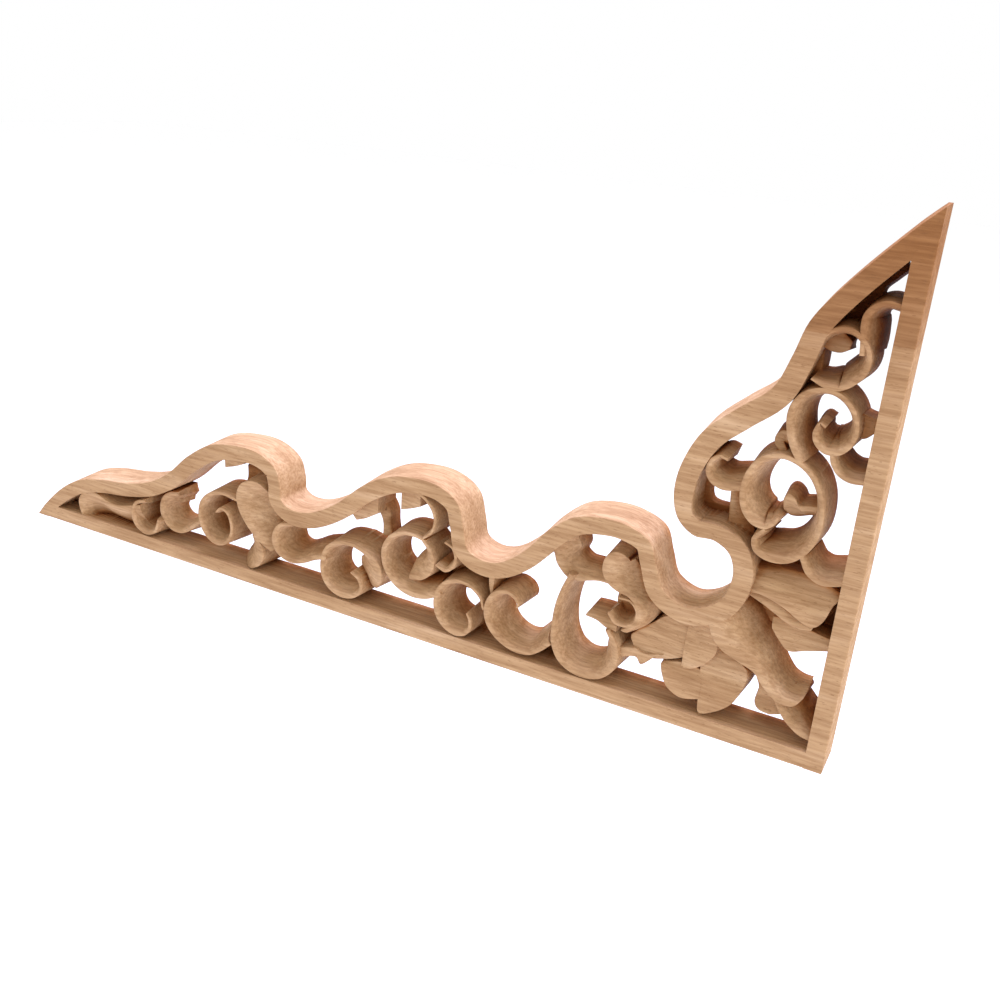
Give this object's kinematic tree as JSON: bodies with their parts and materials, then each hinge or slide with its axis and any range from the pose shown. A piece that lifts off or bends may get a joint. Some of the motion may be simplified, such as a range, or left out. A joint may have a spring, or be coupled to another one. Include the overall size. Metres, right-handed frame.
{
  "type": "carved wooden corner onlay",
  "caption": "Right-angled carved wood onlay with a long and a short leg, a scalloped outer rail, pierced scrolls and a leafy flower at the corner.",
  "frame": {"origin": "on the flat back face, in the middle of the square where the bottom rail and the right-hand rail cross", "axes": "long leg along -X, short leg along +Z, carved front towards -Y, flat back on Y = 0"},
  "size_m": [0.34, 0.015, 0.172],
  "materials": {
    "rubberwood": "unfinished, sawn and hand-carved"
  },
  "bodies": {
    "root": {"corner_onlay": "rubberwood"}
  },
  "joints": []
}
